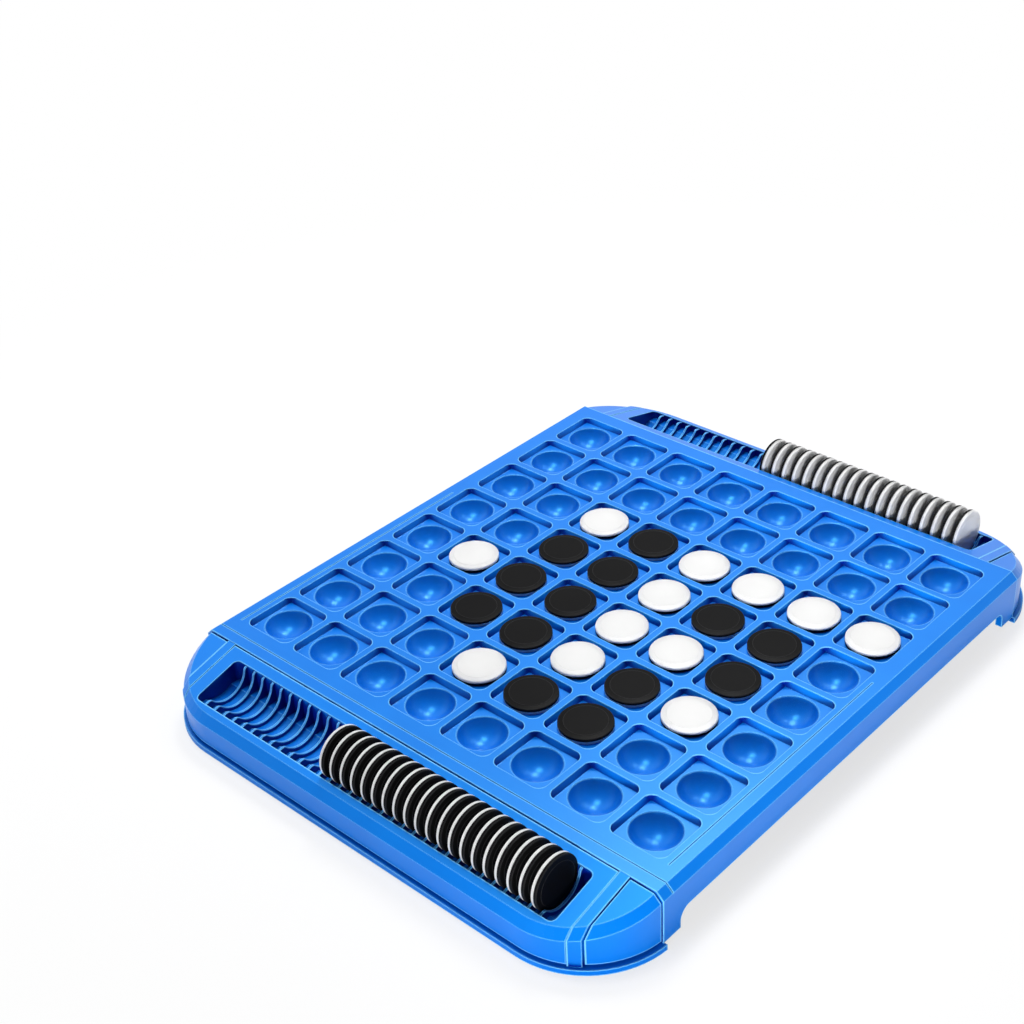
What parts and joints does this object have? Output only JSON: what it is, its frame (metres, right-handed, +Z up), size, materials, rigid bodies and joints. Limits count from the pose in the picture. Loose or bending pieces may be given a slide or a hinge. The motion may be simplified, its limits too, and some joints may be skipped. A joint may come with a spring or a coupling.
{
  "type": "reversi board game",
  "caption": "Blue plastic reversi board with recessed round-bottomed squares, a ribbed disc rack at each end and two-coloured black and white discs",
  "frame": {"origin": "on the table under the middle of the board", "axes": "+X along the racks, to the right as the nearer player sees it; +Y from the near rack to the far rack; +Z up"},
  "size_m": [0.2448, 0.3116, 0.0337],
  "materials": {
    "board_plastic": "bright blue moulded plastic, glossy",
    "disc_black": "black moulded plastic, glossy",
    "disc_white": "white moulded plastic, glossy"
  },
  "bodies": {
    "root": {"board": "board_plastic", "near_rack": "board_plastic", "far_rack": "board_plastic", "near_corner_caps": "board_plastic", "far_corner_caps": "board_plastic", "disc_d2_white_half": "disc_white", "disc_e3_white_half": "disc_white", "disc_g3_white_half": "disc_white", "disc_b4_white_half": "disc_white", "disc_e4_white_half": "disc_white", "disc_f4_white_half": "disc_white", "disc_e5_white_half": "disc_white", "disc_c6_white_half": "disc_white", "disc_e6_white_half": "disc_white", "disc_f6_white_half": "disc_white", "disc_g6_white_half": "disc_white", "disc_h6_white_half": "disc_white", "disc_d2_black_half": "disc_black", "disc_e3_black_half": "disc_black", "disc_g3_black_half": "disc_black", "disc_b4_black_half": "disc_black", "disc_e4_black_half": "disc_black", "disc_f4_black_half": "disc_black", "disc_e5_black_half": "disc_black", "disc_c6_black_half": "disc_black", "disc_e6_black_half": "disc_black", "disc_f6_black_half": "disc_black", "disc_g6_black_half": "disc_black", "disc_h6_black_half": "disc_black", "disc_e2_black_half": "disc_black", "disc_f2_black_half": "disc_black", "disc_c3_black_half": "disc_black", "disc_d3_black_half": "disc_black", "disc_f3_black_half": "disc_black", "disc_c4_black_half": "disc_black", "disc_d4_black_half": "disc_black", "disc_g4_black_half": "disc_black", "disc_c5_black_half": "disc_black", "disc_d5_black_half": "disc_black", "disc_f5_black_half": "disc_black", "disc_g5_black_half": "disc_black", "disc_d6_black_half": "disc_black", "disc_e2_white_half": "disc_white", "disc_f2_white_half": "disc_white", "disc_c3_white_half": "disc_white", "disc_d3_white_half": "disc_white", "disc_f3_white_half": "disc_white", "disc_c4_white_half": "disc_white", "disc_d4_white_half": "disc_white", "disc_g4_white_half": "disc_white", "disc_c5_white_half": "disc_white", "disc_d5_white_half": "disc_white", "disc_f5_white_half": "disc_white", "disc_g5_white_half": "disc_white", "disc_d6_white_half": "disc_white", "near_rack_black_halves": "disc_black", "near_rack_white_halves": "disc_white", "far_rack_black_halves": "disc_black", "far_rack_white_halves": "disc_white"}
  },
  "joints": []
}
